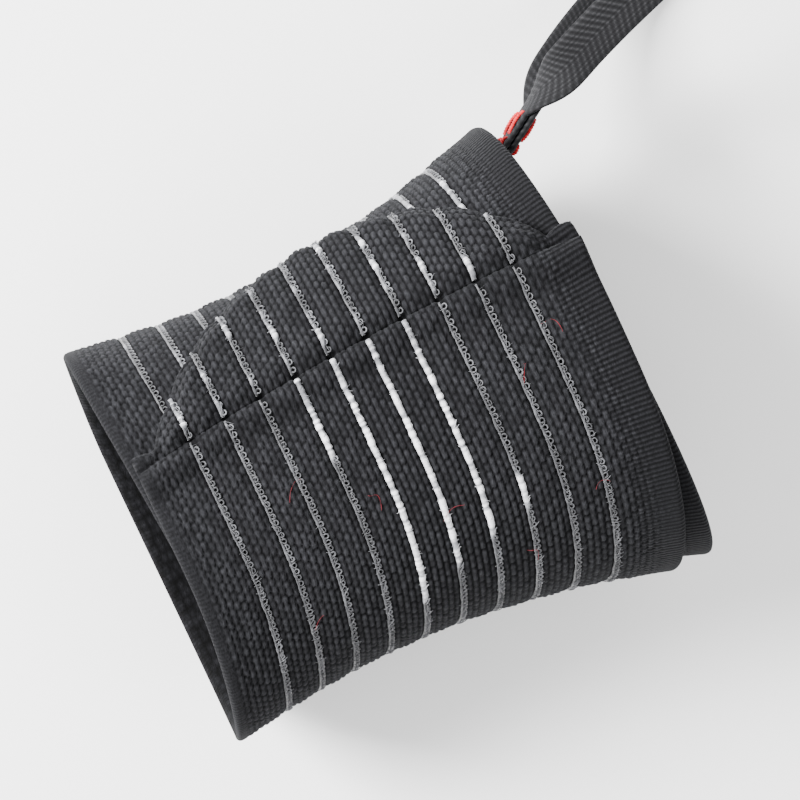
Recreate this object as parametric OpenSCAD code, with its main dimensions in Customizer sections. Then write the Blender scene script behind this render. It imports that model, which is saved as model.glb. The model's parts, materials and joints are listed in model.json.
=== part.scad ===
// Elastic wrist wrap, wound two turns and closed, with a thumb loop.
// X runs along the arm toward the hand, Z is up, and the wrap lies on its broad side on z = 0.
// The band is one strip wound from its inner end to its closure end. A place on the strip is
// given by its turn angle (0 at the far side, 90 underneath, 180 at the near side, 270 on top,
// then a second turn), by its distance across the band from the forearm edge, and by its
// height through the cloth, which is 0 on the skin side.

/* [Band] */
// Width of the knitted band, edge to edge
band_w = 80; // [66:1:110]
// Thickness of the knitted cloth
cloth_t = 1.9; // [1.4:0.1:3]
// Air between one turn and the next
turn_gap = 0.5; // [0.4:0.05:1.5]
// How far the outer turn drifts toward the forearm
drift = 4; // [0:0.5:10]
// How far the inner turn leans toward the forearm at the far side, and away from it at the near
lean = 2.6; // [0:0.2:5]

/* [Wrist opening] */
// Width of the opening at the forearm edge
open_w_fore = 62; // [48:1:90]
// Height of the opening at the forearm edge
open_h_fore = 38; // [32:1:70]
// Width of the opening at the hand edge
open_w_hand = 76; // [52:1:100]
// Height of the opening at the hand edge
open_h_hand = 51; // [34:1:80]
// How much narrower the opening is at its waist than a straight taper would be
waist_w = 11; // [0:0.5:14]
// How much lower the opening is at its waist than a straight taper would be
waist_h = 1; // [0:0.5:3]
// Squareness of the oval, where 2 is an ellipse
oval_n = 2.2; // [2:0.1:3]
// Depth to which the soft tube flattens where it lies on a table
flat_depth = 1.6; // [0.8:0.1:3]

/* [Contrast stripes] */
// Number of stripe yarns, spread evenly between the margins
stripe_count = 10; // [2:1:12]
// Distance from the forearm edge to the first stripe
stripe_margin_fore = 10.2; // [6:0.1:14]
// Distance from the hand edge to the last stripe
stripe_margin_hand = 11.3; // [6:0.1:14]
// Width of a stripe yarn
stripe_w = 1.1; // [0.6:0.1:1.6]
// Depth of a stripe yarn into the cloth
stripe_d = 0.45; // [0.3:0.05:0.7]

/* [Closure end] */
// Turn angle of the crease where the closure end begins
crease_turn = 651; // [640:1:660]
// Length of the closure end, from the crease to its tip
end_l = 23; // [18:0.5:26]
// Length of the closure end beside the band's edges
end_edge_l = 1; // [1:0.5:5]
// Width of those short parts beside the band's edges
end_side = 5; // [2:0.5:6]
// Roundness of the closure end, where a larger number is squarer
end_round = 1.7; // [1.5:0.1:4]
// Length of the hem round the closure end
hem_l = 1.8; // [1:0.1:3]
// Thickness of the hook tape
tape_t = 1.1; // [0.8:0.1:2]
// Margin from the closure end's outline to the hook tape
tape_margin = 3.5; // [2.5:0.5:6]

/* [Inner end] */
// Length of the hem folded back at the inner end
inner_hem_l = 9; // [6:0.5:14]
// Thickness of that hem
inner_hem_t = 1.1; // [0.8:0.1:1.8]

/* [Thumb loop] */
// Width of the webbing
web_w = 8; // [5:0.5:12]
// Thickness of the webbing
web_t = 1.2; // [0.8:0.1:2]
// Length of webbing sewn onto the inner end
tab_l = 15; // [8:1:25]
// Length over which the loop's two legs are sewn together
root_l = 9; // [6:0.5:14]
// Reach of the loop beyond the sewn legs
loop_l = 50; // [34:1:70]
// Height of the loop
loop_h = 36; // [24:1:56]
// Angle at which the loop leaves the band's edge
loop_angle = 32; // [10:1:45]

/* [Stitches] */
// Length of a stitch
stitch_l = 2.2; // [1.5:0.1:3]
// Spacing of stitches
stitch_pitch = 3.2; // [3.1:0.1:5]
// Thickness of the sewing thread
thread_t = 0.25; // [0.15:0.05:0.3]
// Thickness of the heavy thread on the thumb loop
heavy_t = 0.8; // [0.4:0.1:1]

/* [Hidden] */

// Clearance between a piece and the channel or edge that it fits, between a piece and the curved
// face that it lies on, and between pieces that move apart
touch = 0.03;
lay = 0.12;
free = 0.35;
// Turn angles on top, where the second turn begins, underneath it, and at its near side
top_side = 270;
full_turn = 360;
under_side = 450;
near_side = 540;
// Degrees of turn in one facet of the cloth, and the least that a cut facet may keep
facet = 12;
facet_min = 2;

layer = cloth_t + turn_gap;
mean_r = (open_w_fore + open_h_fore + open_w_hand + open_h_hand) / 8
    - (waist_w + waist_h) / 6 + 1.5 * layer;
deg_per_mm = 180 / PI / mean_r;

// The cloth rises over the hook tape, and this ramp ends at the crease
tape_room = tape_t + thread_t + 2 * lay + free;
ramp_l = 5;

// Tilt of the crease from edge to edge, and its bow toward the closure end in the middle, in
// degrees of turn
crease_tilt = 4;
crease_bow = 7;

// Turn angles between which the outer turn drifts, and comes back
drift_start = 350;
drift_full = 430;
drift_back = 545;
drift_end = 625;

knit_colour = [0.16, 0.16, 0.17];
stripe_colour = [0.80, 0.81, 0.84];
black_colour = [0.05, 0.05, 0.05];
tape_colour = [0.10, 0.10, 0.11];
red_colour = [0.80, 0.10, 0.12];

function mix(a, b, t) = a + (b - a) * t;
function ease(t) = let (s = min(1, max(0, t))) s * s * (3 - 2 * s);
function unit(v) = v / norm(v);

// ---- The wound strip ----

function waist(k) = 1 - pow(2 * k - 1, 2);
function half_w(k) = (mix(open_w_fore, open_w_hand, k) - waist_w * waist(k)) / 2;
function half_h(k) = (mix(open_h_fore, open_h_hand, k) - waist_h * waist(k)) / 2;
function lift(p) = layer * p / full_turn;
function oval(c) = sign(c) * pow(abs(c), 2 / oval_n);
function axis_z(k) = half_h(k) + lift(under_side) + cloth_t - flat_depth;
function floor_z(p, h) = (p < top_side ? layer : 0) + cloth_t - h;
function drift_at(p) =
    let (
        out = ease((p - drift_start) / (drift_full - drift_start)),
        back = ease((p - drift_back) / (drift_end - drift_back))
    )
    -drift * (out - back) - lean * cos(p) * (1 - out);

// A point of the strip at turn angle p, v across the band and height h through the cloth
function place(p, v, h) =
    let (
        x = v - band_w / 2 + drift_at(p),
        k = x / band_w + 0.5,
        r = lift(p) + h,
        y = (half_w(k) + r) * oval(cos(p)),
        z = axis_z(k) - (half_h(k) + r) * oval(sin(p))
    )
    [x, y, max(z, floor_z(p, h))];

function crease_p(v) =
    crease_turn + crease_tilt * (v / band_w - 0.5) + crease_bow * waist(v / band_w);
function crease_ramp(p, v) = tape_room * ease(1 + (p - crease_p(v)) / (ramp_l * deg_per_mm));
function end_length(v) =
    let (u = abs(v - band_w / 2) / (band_w / 2 - end_side))
    end_edge_l + (end_l - end_edge_l) * (1 - pow(min(1, u), end_round));

// ---- Strips between two turn angles ----

stripe_pitch = (band_w - stripe_margin_fore - stripe_margin_hand) / (stripe_count - 1);
function stripe_v(i) = stripe_margin_fore + i * stripe_pitch;

// Lines across the cloth, each with its height above or below the outer face: a V-shaped
// channel holds each stripe yarn
function face_lines() = concat(
    [[0, 0]],
    [for (i = [0 : stripe_count - 1])
        let (v = stripe_v(i))
        each [[v - stripe_w / 2, 0], [v, -stripe_d], [v + stripe_w / 2, 0]]],
    [[band_w, 0]]
);

// Lines across the skin side, one under each channel and one at each edge
function skin_lines() = concat([0], [for (i = [0 : stripe_count - 1]) stripe_v(i)], [band_w]);

// A closed solid between a grid of outer points and a grid of inner points, row by row.
// All rows of one grid have the same number of points. Its faces point outward where the way
// along a row, the way from row to row and the way from inner to outer are right-handed.
module shell(outer, inner) {
    rows = len(outer);
    m = len(outer[0]);
    n = len(inner[0]);
    points = concat([for (row = outer) each row], [for (row = inner) each row]);
    base = rows * m;
    function o(i, j) = i * m + j;
    function q(i, j) = base + i * n + j;
    last = rows - 1;
    polyhedron(points, concat(
        [for (i = [0 : last - 1], j = [0 : m - 2])
            each [[o(i, j), o(i + 1, j + 1), o(i, j + 1)], [o(i, j), o(i + 1, j), o(i + 1, j + 1)]]],
        [for (i = [0 : last - 1], j = [0 : n - 2])
            each [[q(i, j), q(i, j + 1), q(i + 1, j + 1)], [q(i, j), q(i + 1, j + 1), q(i + 1, j)]]],
        [for (i = [0 : last - 1])
            each [[o(i, 0), q(i + 1, 0), o(i + 1, 0)], [o(i, 0), q(i, 0), q(i + 1, 0)]]],
        [for (i = [0 : last - 1])
            each [
                [o(i, m - 1), o(i + 1, m - 1), q(i + 1, n - 1)],
                [o(i, m - 1), q(i + 1, n - 1), q(i, n - 1)]
            ]],
        [for (t = end_faces(m, n))
            [for (k = [2 : -1 : 0]) t[k][0] == 0 ? o(0, t[k][1]) : q(0, t[k][1])]],
        [for (t = end_faces(m, n)) [for (c = t) c[0] == 0 ? o(last, c[1]) : q(last, c[1])]]
    ));
}

// Triangles that close the start of a shell, as [0, point of the outer row] or
// [1, point of the inner row]. Equal rows are joined point to point. Otherwise the inner row
// has one point under each channel, or is a single point.
function end_faces(m, n) =
    m == n
    ? [for (j = [0 : m - 2])
        each [[[0, j], [1, j + 1], [0, j + 1]], [[0, j], [1, j], [1, j + 1]]]]
    : n == 1
    ? [[[0, 0], [1, 0], [0, 1]]]
    : concat(
        [for (i = [0 : n - 2])
            each [[[0, 3 * i], [1, i + 1], [0, 3 * i + 1]], [[0, 3 * i], [1, i], [1, i + 1]]]],
        [for (i = [1 : n - 2])
            each [[[0, 3 * i - 2], [1, i], [0, 3 * i - 1]], [[0, 3 * i - 1], [1, i], [0, 3 * i]]]]
    );

// Turn angles from a to b, with a row at each facet line between them
function rows_between(a, b) = concat(
    [a],
    [for (p = [ceil((a + facet_min) / facet) * facet : facet : b - facet_min]) p],
    [b]
);

// Cloth of one turn, from angle a to angle b
module turn_cloth(a, b) {
    lines = face_lines();
    shell(
        [for (p = rows_between(a, b)) [for (l = lines) place(p, l[0], cloth_t + l[1])]],
        [for (p = rows_between(a, b)) [for (v = skin_lines()) place(p, v, 0)]]
    );
}

// Yarn lying in the channel at v, from angle a to angle b
module turn_yarn(v, a, b) {
    half = stripe_w / 2 - touch;
    shell(
        [for (p = rows_between(a, b)) [for (s = [-half, half]) place(p, v + s, cloth_t)]],
        [for (p = rows_between(a, b)) [place(p, v, cloth_t - stripe_d + touch)]]
    );
}

module turn_yarns(a, b) {
    for (i = [0 : stripe_count - 1])
        turn_yarn(stripe_v(i), a, b);
}

module inner_turn() {
    color(knit_colour) turn_cloth(0, full_turn - touch);
}

module inner_turn_stripes() {
    color(stripe_colour) turn_yarns(0, full_turn - touch);
}

module outer_turn_under() {
    color(knit_colour) turn_cloth(full_turn, near_side - hinge_half);
}

module outer_turn_under_stripes() {
    color(stripe_colour) turn_yarns(full_turn, near_side - hinge_half);
}

// ---- The top of the outer turn, which opens about the near side ----

// Half of the gap at the near side, in degrees of turn
hinge_half = free / 2 * deg_per_mm;
top_rows = 11;

function top_place(t, v, h) =
    let (p = mix(near_side + hinge_half, crease_p(v) - hinge_half, t))
    place(p, v, h + crease_ramp(p, v));

module outer_turn_top() {
    lines = face_lines();
    color(knit_colour) shell(
        [for (i = [0 : top_rows]) [for (l = lines) top_place(i / top_rows, l[0], cloth_t + l[1])]],
        [for (i = [0 : top_rows]) [for (v = skin_lines()) top_place(i / top_rows, v, 0)]]
    );
}

module outer_turn_top_stripes() {
    half = stripe_w / 2 - touch;
    color(stripe_colour) for (s = [0 : stripe_count - 1])
        shell(
            [for (i = [0 : top_rows])
                [for (e = [-half, half]) top_place(i / top_rows, stripe_v(s) + e, cloth_t)]],
            [for (i = [0 : top_rows]) [top_place(i / top_rows, stripe_v(s), cloth_t - stripe_d + touch)]]
        );
}

// ---- The closure end, which peels about the crease ----

end_rows = 7;

function end_place(l, v, h) =
    let (p = crease_p(v) + hinge_half + l * deg_per_mm)
    place(p, v, h + tape_room);

module closure_end() {
    lines = face_lines();
    color(knit_colour) shell(
        [for (i = [0 : end_rows])
            [for (l = lines) end_place(end_length(l[0]) * i / end_rows, l[0], cloth_t + l[1])]],
        [for (i = [0 : end_rows])
            [for (l = lines) end_place(end_length(l[0]) * i / end_rows, l[0], 0)]]
    );
}

module closure_end_stripes() {
    half = stripe_w / 2 - touch;
    color(stripe_colour) for (s = [0 : stripe_count - 1])
        let (v = stripe_v(s))
        shell(
            [for (i = [0 : end_rows])
                [for (e = [-half, half]) end_place(end_length(v + e) * i / end_rows, v + e, cloth_t)]],
            [for (i = [0 : end_rows])
                [end_place(end_length(v) * i / end_rows, v, cloth_t - stripe_d + touch)]]
        );
}

// The hem is a thicker lip round the rounded end
hem_rise = 0.3;
hem_drop = 0.5;

module closure_end_hem() {
    lines = [for (l = face_lines()) l[0]];
    color(knit_colour) shell(
        [for (t = [0, hem_l]) [for (v = lines) end_place(end_length(v) + lay + t, v, cloth_t + hem_rise)]],
        [for (t = [0, hem_l]) [for (v = lines) end_place(end_length(v) + lay + t, v, -hem_drop)]]
    );
}

// Hook tape sewn under the closure end, its outline inside the end's own
function tape_length(v) = end_length(v) - tape_margin;
tape_start = 0.6;
// The tape stops short of the band's edges, where the closure end is too short to hold it
edge_clear = 4;
edge_share = 0.7;
tape_v0 = end_side + edge_clear + edge_share * tape_margin;
tape_v1 = band_w - tape_v0;

module hook_tape() {
    columns = 16;
    rows = 5;
    lines = [for (j = [0 : columns]) mix(tape_v0, tape_v1, j / columns)];
    color(tape_colour) shell(
        [for (i = [0 : rows])
            [for (v = lines) end_place(mix(tape_start, tape_length(v), i / rows), v, -lay)]],
        [for (i = [0 : rows])
            [for (v = lines) end_place(mix(tape_start, tape_length(v), i / rows), v, -lay - tape_t)]]
    );
}

// ---- Stitches ----

// A straight stitch on the closure end between two points, each given as [along, across], from
// height h0 to height h1
module stitch_on_end(from, to, h0, h1) {
    side = 0.25;
    dir = unit(to - from);
    off = side * [-dir[1], dir[0]];
    shell(
        [for (c = [from, to])
            [for (s = [-1, 1]) end_place(c[0] + s * off[0], c[1] + s * off[1], h1)]],
        [for (c = [from, to])
            [for (s = [-1, 1]) end_place(c[0] + s * off[0], c[1] + s * off[1], h0)]]
    );
}

// Rows of stitches on the hook side of the tape, along the crease and along the rounded edge
module hook_tape_stitching() {
    inset = 1;
    side_inset = 2.5;
    under = -tape_t - 2 * lay;
    count = floor((tape_v1 - tape_v0 - 2 * side_inset) / stitch_pitch);
    color(black_colour) for (i = [0 : count - 1])
        let (v = tape_v0 + side_inset + i * stitch_pitch) {
            stitch_on_end([tape_start + inset, v], [tape_start + inset, v + stitch_l],
                under - thread_t, under);
            stitch_on_end([tape_length(v) - inset, v],
                [tape_length(v + stitch_l) - inset, v + stitch_l],
                under - thread_t, under);
        }
}

// ---- The inner end ----

// Height of what lies on the inner end's hem
hem_face = -inner_hem_t - 2 * lay;

// Degrees of turn for each mm along the inner end
inner_deg = 180 / PI / (open_h_fore / 2);

// A place near the inner end, on the cloth's flat facets between its facet lines
function inner_place(p, v, h) =
    let (p0 = floor(p / facet) * facet)
    mix(place(p0, v, h), place(p0 + facet, v, h), (p - p0) / facet);

// A plate that follows the inner end between l0 and l1, v0 and v1, h0 and h1
module inner_plate(l0, l1, v0, v1, h0, h1) {
    rows = rows_between(l0 * inner_deg, l1 * inner_deg);
    lines = concat([v0], [for (v = skin_lines()) if (v > v0 && v < v1) v], [v1]);
    shell(
        [for (p = rows) [for (v = lines) inner_place(p, v, h1)]],
        [for (p = rows) [for (v = lines) inner_place(p, v, h0)]]
    );
}

module inner_end_hem() {
    color(knit_colour) inner_plate(0, inner_hem_l, 0, band_w, -lay - inner_hem_t, -lay);
}

// One row of stitches along the hem, stopping short of the thumb loop's tab
module inner_end_stitching() {
    edge = 3;
    line_in = 2;
    line_w = 0.5;
    run = band_w - tab_l - 2 * edge;
    color(black_colour) for (i = [0 : floor(run / stitch_pitch) - 1])
        let (v = edge + i * stitch_pitch)
        inner_plate(inner_hem_l - line_in, inner_hem_l - line_in + line_w, v, v + stitch_l,
            hem_face - thread_t, hem_face);
}

// ---- Thumb loop ----

// The tab is the webbing's two legs, one on the other, sewn on the hem's skin side
stack_t = 2 * web_t + touch;
tab_h = hem_face;
tab_mid = tab_h - stack_t / 2;
// The tab ends this far beyond the band's edge, clear of the loop when it swings
tab_out = 0.7;
// The swing axis stands this far beyond the band's edge, and the loop starts this far from it
bend_x = 2;
bend_gap = 1.1;
tab_l0 = (inner_hem_l - web_w) / 2;

module thumb_loop_tab() {
    color(black_colour) inner_plate(tab_l0, tab_l0 + web_w, band_w - tab_l, band_w + tab_out,
        tab_h - stack_t, tab_h);
}

// A dense bar of stitches near each end of the tab, on its skin side
module thumb_loop_tab_stitches() {
    bar = 1.2;
    inset = 1;
    // Twice the usual gap, as the bars' own facets part from the tab's where the band curves
    bar_h = tab_h - stack_t - 2 * lay;
    color(red_colour) for (v = [band_w - tab_l + inset, band_w - inset - bar])
        inner_plate(tab_l0 + inset, tab_l0 + web_w - inset, v, v + bar,
            bar_h - thread_t, bar_h);
}

// The loop's frame: it leaves the band's edge along loop_out, with its sewn legs on edge
loop_root = inner_place(inner_hem_l / 2 * inner_deg, band_w + bend_x, tab_mid);
loop_out = [cos(loop_angle), sin(loop_angle), 0];
loop_side = [-sin(loop_angle), cos(loop_angle), 0];
loop_up = [0, 0, 1];
// How strongly the loop curls back toward the arm's axis, per mm
loop_curl = 0.008;
// Distance beyond the sewn legs at which the webbing has turned flat over the thumb
turn_l = 13;
loop_steps = 44;
// How blunt the drop-shaped loop is at its root, and the largest value of its height below
drop_power = 1.5;
drop_peak = 0.697;
// The angle round the drop at which each leg leaves the other
drop_first = 8;
// Height above and below the loop's plane over which the legs part from their sewn stack
part_start = 1;
part_l = 6;

function drop_x(a) = loop_l * (1 - cos(a)) / 2;
function drop_z(a) = loop_h / 2 / drop_peak * sin(a) * pow(sin(a / 2), drop_power);
function web_turn(x) = 90 * ease((x - root_l) / turn_l);

// Centre of the webbing x mm from the bend and z mm above the loop's plane, on one leg
function web_at(x, z, leg) =
    let (
        a = web_turn(x),
        normal = loop_side * cos(a) + loop_up * sin(a),
        curl = -loop_curl * pow(max(0, x - root_l), 2) / 2
    )
    loop_root + loop_out * x + loop_side * curl + loop_up * z
    + normal * leg * stack_t / 4 * (1 - ease((abs(z) - part_start) / part_l));

loop_path = concat(
    [for (x = [bend_gap, root_l / 2]) [x, 0, 1]],
    [for (i = [0 : loop_steps])
        let (a = mix(drop_first, 360 - drop_first, i / loop_steps))
        [root_l + drop_x(a), drop_z(a), a < 180 ? 1 : -1]],
    [for (x = [root_l / 2, bend_gap]) [x, 0, -1]]
);
loop_points = [for (s = loop_path) web_at(s[0], s[1], s[2])];

function loop_dir(i) =
    unit(loop_points[min(i + 1, len(loop_points) - 1)] - loop_points[max(i - 1, 0)]);
function loop_across(i) =
    let (
        a = web_turn(loop_path[i][0]),
        w = loop_up * cos(a) - loop_side * sin(a),
        t = loop_dir(i)
    )
    unit(w - t * (w * t));

module thumb_loop() {
    count = len(loop_points);
    frames = [for (i = [0 : count - 1])
        let (w = loop_across(i), n = unit(cross(w, loop_dir(i))))
        [loop_points[i], w * web_w / 2, n * web_t / 2 * (1 - touch)]];
    color(black_colour) shell(
        [for (f = frames) [f[0] - f[1] + f[2], f[0] + f[1] + f[2]]],
        [for (f = frames) [f[0] - f[1] - f[2], f[0] + f[1] - f[2]]]
    );
}

// Heavy red stitches that hold the two legs together: three along each side of the root
module thumb_loop_stitches() {
    rows = [-0.3, 0.3];
    each_side = 3;
    first = 0.3;
    filled = 0.8;
    long = (root_l - bend_gap) / each_side;
    rise = stack_t / 2 + touch;
    color(red_colour) for (face = [-1, 1], r = rows, i = [0 : each_side - 1])
        let (
            start = bend_gap + first + i * long,
            a = loop_root + loop_up * r * web_w,
            near = a + loop_side * face * rise,
            away = a + loop_side * face * (rise + heavy_t),
            ends = [loop_out * start, loop_out * (start + long * filled)],
            side = loop_up * heavy_t / 2
        )
        shell(
            [for (e = ends) [for (s = [-face, face]) away + e + side * s]],
            [for (e = ends) [for (s = [-face, face]) near + e + side * s]]
        );
}

inner_turn();
inner_turn_stripes();
outer_turn_under();
outer_turn_under_stripes();
outer_turn_top();
outer_turn_top_stripes();
closure_end();
closure_end_stripes();
closure_end_hem();
hook_tape();
hook_tape_stitching();
inner_end_hem();
inner_end_stitching();
thumb_loop_tab();
thumb_loop_tab_stitches();
thumb_loop();
thumb_loop_stitches();
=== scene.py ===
"""Looks of the elastic wrist wrap with a thumb loop.

The band is one knitted strip. A place on it is given by its turn angle p in degrees (0 at the far
side, 90 underneath, 180 at the near side, 270 on top, then a second turn), by its distance v
across the band from the forearm edge, and by its height h through the cloth, 0 on the skin side.
Lengths are in millimetres until a mesh is made.
"""

import json
import math

import bpy
import numpy as np
from mathutils import Matrix, Vector


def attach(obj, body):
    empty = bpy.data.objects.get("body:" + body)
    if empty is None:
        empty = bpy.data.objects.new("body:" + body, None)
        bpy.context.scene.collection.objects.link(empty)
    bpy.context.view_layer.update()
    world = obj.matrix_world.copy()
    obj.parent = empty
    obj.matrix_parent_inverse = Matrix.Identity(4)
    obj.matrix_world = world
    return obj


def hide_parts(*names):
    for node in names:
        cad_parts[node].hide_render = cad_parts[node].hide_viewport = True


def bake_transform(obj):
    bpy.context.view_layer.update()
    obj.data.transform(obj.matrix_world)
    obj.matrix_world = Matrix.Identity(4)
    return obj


MM = 0.001
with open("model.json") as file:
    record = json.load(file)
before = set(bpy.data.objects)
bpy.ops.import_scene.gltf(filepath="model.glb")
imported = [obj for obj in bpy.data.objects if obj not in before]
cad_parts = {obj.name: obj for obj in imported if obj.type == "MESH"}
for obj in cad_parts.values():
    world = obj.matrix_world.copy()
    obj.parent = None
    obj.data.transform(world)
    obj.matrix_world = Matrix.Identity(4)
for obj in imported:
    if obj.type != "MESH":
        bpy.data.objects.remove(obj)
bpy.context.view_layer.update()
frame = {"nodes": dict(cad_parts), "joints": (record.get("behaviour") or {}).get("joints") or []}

# ---- Sizes of the wound strip, as in the CAD ----
BAND_W = 80.0
CLOTH_T = 1.9
TURN_GAP = 0.5
# The outer turn drifts along the arm and back: how far, the turn angles at which each way starts,
# and the angle that each takes. The inner turn leans by LEAN each way.
DRIFT = 4.0
DRIFT_OUT = 350.0
DRIFT_BACK = 545.0
DRIFT_OVER = 80.0
LEAN = 2.6
# The opening at the forearm edge and at the hand edge, and how much its waist draws in
OPEN_W = (62.0, 76.0)
OPEN_H = (38.0, 51.0)
WAIST_W = 11.0
WAIST_H = 1.0
# Power of the oval section, and how far the underside is pressed flat
OVAL_N = 2.2
FLAT_DEPTH = 1.6
# The stripes, and how far the first and last are from the forearm edge and the hand edge
STRIPES = 10
STRIPE_FORE = 10.2
STRIPE_HAND = 11.3
# Turn angle of the crease, and how many degrees it tilts and bows across the band
CREASE = 651.0
CREASE_TILT = 4.0
CREASE_BOW = 7.0
# Closure end: its length in the middle and at its sides, how far in from the band's edges its sides
# are, and the power of its outline
END_L = 23.0
END_EDGE_L = 1.0
END_SIDE = 5.0
END_ROUND = 1.7
HEM_L = 1.8
# Hook tape: its thickness, its margin inside the end's outline and its distance from the crease
TAPE_T = 1.1
TAPE_MARGIN = 3.5
TAPE_START = 0.6
# Sewing thread, and the gaps between sewn layers, layers that part, and the webbing's two layers
THREAD_T = 0.25
LAY = 0.12
FREE = 0.35
TOUCH = 0.03
# Length over which the cloth rises over the hook tape
RAMP_L = 5.0
INNER_HEM_L = 9.0
INNER_HEM_T = 1.1
# Webbing: its section, its sewn tab and how far that reaches past the band, and its sewn root
WEB_W = 8.0
WEB_T = 1.2
TAB_L = 15.0
TAB_OUT = 0.7
ROOT_L = 9.0
# The loop's length, height, direction in degrees and sideways curl
LOOP_L = 50.0
LOOP_H = 36.0
LOOP_ANGLE = 32.0
LOOP_CURL = 0.008
# Where the loop swings, past the band's edge, and where its root starts, past that
BEND_X = 2.0
BEND_GAP = 1.1
# Length over which the webbing turns flat, and the drop shape of the loop: the height of its peak
# before scaling, its power and the angle at which it starts
TURN_L = 13.0
DROP_PEAK = 0.697
DROP_POWER = 1.5
DROP_FIRST = 8.0
# Turn angles: one flat facet of the inner end, and places round the band
FACET = 12.0
TOP_SIDE = 270.0
FULL_TURN = 360.0
NEAR_SIDE = 540.0

LAYER = CLOTH_T + TURN_GAP
# Turns wound on by the time the outer turn is underneath
LAYERS_UNDER = 1.25
STRIPE_PITCH = (BAND_W - STRIPE_FORE - STRIPE_HAND) / (STRIPES - 1)
MEAN_R = (sum(OPEN_W) + sum(OPEN_H)) / 8 - (WAIST_W + WAIST_H) / 6 + 1.5 * LAYER
DEG_PER_MM = 180 / math.pi / MEAN_R
TAPE_ROOM = TAPE_T + THREAD_T + 2 * LAY + FREE
# No point of the cloth is lower than this
FLOOR_GAP = 0.02


def ease(t):
    t = np.clip(t, 0.0, 1.0)
    return t * t * (3 - 2 * t)


def oval(c):
    return np.sign(c) * np.abs(c) ** (2 / OVAL_N)


def half(sizes, waist, k):
    """Half of an opening's size, k being 0 at the forearm edge and 1 at the hand edge."""
    return (sizes[0] + (sizes[1] - sizes[0]) * k - waist * (1 - (2 * k - 1) ** 2)) / 2


def place(p, v, h):
    """Points of the strip, in mm."""
    p, v, h = np.broadcast_arrays(np.asarray(p, float), np.asarray(v, float), np.asarray(h, float))
    cos, sin = np.cos(np.radians(p)), np.sin(np.radians(p))
    out, back = ease((p - DRIFT_OUT) / DRIFT_OVER), ease((p - DRIFT_BACK) / DRIFT_OVER)
    x = v - BAND_W / 2 - DRIFT * (out - back) - LEAN * cos * (1 - out)
    k = x / BAND_W + 0.5
    r = LAYER * p / FULL_TURN + h
    half_h = half(OPEN_H, WAIST_H, k)
    y = (half(OPEN_W, WAIST_W, k) + r) * oval(cos)
    z = half_h + LAYER * LAYERS_UNDER + CLOTH_T - FLAT_DEPTH - (half_h + r) * oval(sin)
    floor = np.where(p < TOP_SIDE, LAYER, 0) + CLOTH_T - h
    return np.stack([x, y, np.maximum(np.maximum(z, floor), FLOOR_GAP)], -1)


def crease_p(v):
    u = v / BAND_W
    return CREASE + CREASE_TILT * (u - 0.5) + CREASE_BOW * (1 - (2 * u - 1) ** 2)


def end_length(v):
    """Length of the closure end beyond the crease."""
    u = np.abs(v - BAND_W / 2) / (BAND_W / 2 - END_SIDE)
    return END_EDGE_L + (END_L - END_EDGE_L) * (1 - np.minimum(1, u) ** END_ROUND)


def stripe_v(i):
    return STRIPE_FORE + i * STRIPE_PITCH


def run_length(points):
    """Distance along a line of points, from 0 at the first."""
    return np.concatenate([[0], np.cumsum(np.linalg.norm(np.diff(points, axis=0), axis=1))])


# Distance along the strip at mid-width, so that the knit has an even size all the way round
ARC_P = np.linspace(-20, 740, 3041)
ARC_S = run_length(place(ARC_P, BAND_W / 2, CLOTH_T))


def s_of(p):
    return np.interp(p, ARC_P, ARC_S)


def p_of(s):
    return np.interp(s, ARC_S, ARC_P)


def rows_by_length(p0, p1, step):
    """Turn angles from p0 to p1, about one step in mm apart."""
    s0, s1 = s_of(p0), s_of(p1)
    return p_of(np.linspace(s0, s1, max(3, int(round((s1 - s0) / step)) + 1)))


# ---- Knit relief ----
# Width, length and height of one puffed stitch
PUFF_W = 1.08
PUFF_L = 1.5
PUFF_H = 0.42
# Half the width of the bare channel in which a stripe lies, and the channel's depth
CHANNEL = 0.55
CHANNEL_D = 0.45
# The puffs fade out toward the ribbed hand edge and the plain forearm edge: over what distance, and
# how far from the edge they are gone
RIBBED = 7.5
RIBBED_FROM = 1.5
PLAIN = 2.6
PLAIN_FROM = 0.8
# Height of the cloth's unevenness, and how far in from its edges it is rounded
WRINKLE = 0.10
EDGE_R = 1.3
# Random numbers are looked up in a square table of this many rows and columns
CELLS = 256
rng = np.random.default_rng(7)
CELL = rng.random((CELLS, CELLS))
WAVES = [(rng.uniform(0.05, 0.35), rng.uniform(0.05, 0.35), rng.uniform(0, 6.3)) for _ in range(9)]


def cell(a, b):
    """A fixed random number from 0 to 1 for each pair of whole numbers."""
    return CELL[a % CELLS, b % CELLS]


def wander(s, v):
    """Smooth unevenness, about -1 to 1."""
    return sum(np.sin(a * s + b * v + c) for a, b, c in WAVES) / 4


def puffs(s, v, lane):
    """Staggered rounded stitches in columns between the stripes: 0 in their gaps, about 1 on top."""
    i = np.floor(lane)
    column = np.clip(((lane - i) * STRIPE_PITCH - CHANNEL) / PUFF_W, -0.5, 5.5)
    c = np.floor(column)
    dx = column - c - 0.5
    row = s / PUFF_L + 0.5 * (c % 2) + 0.27 * (i % 3) + 0.10 * wander(3 * s, 3 * v)
    r = np.floor(row)
    dy = row - r - 0.5
    a, b = (c + 7 * i).astype(int), r.astype(int)
    sway = 0.22 * (cell(a + 91, b + 37) - 0.5) * np.cos(math.pi * dx)
    away = np.abs(2.02 * (dx + sway)) ** 2.3 + np.abs(1.96 * dy) ** 2.6
    return np.sqrt(np.clip(1.04 - away, 0, 1)) * (0.66 + 0.45 * cell(a, b))


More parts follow.
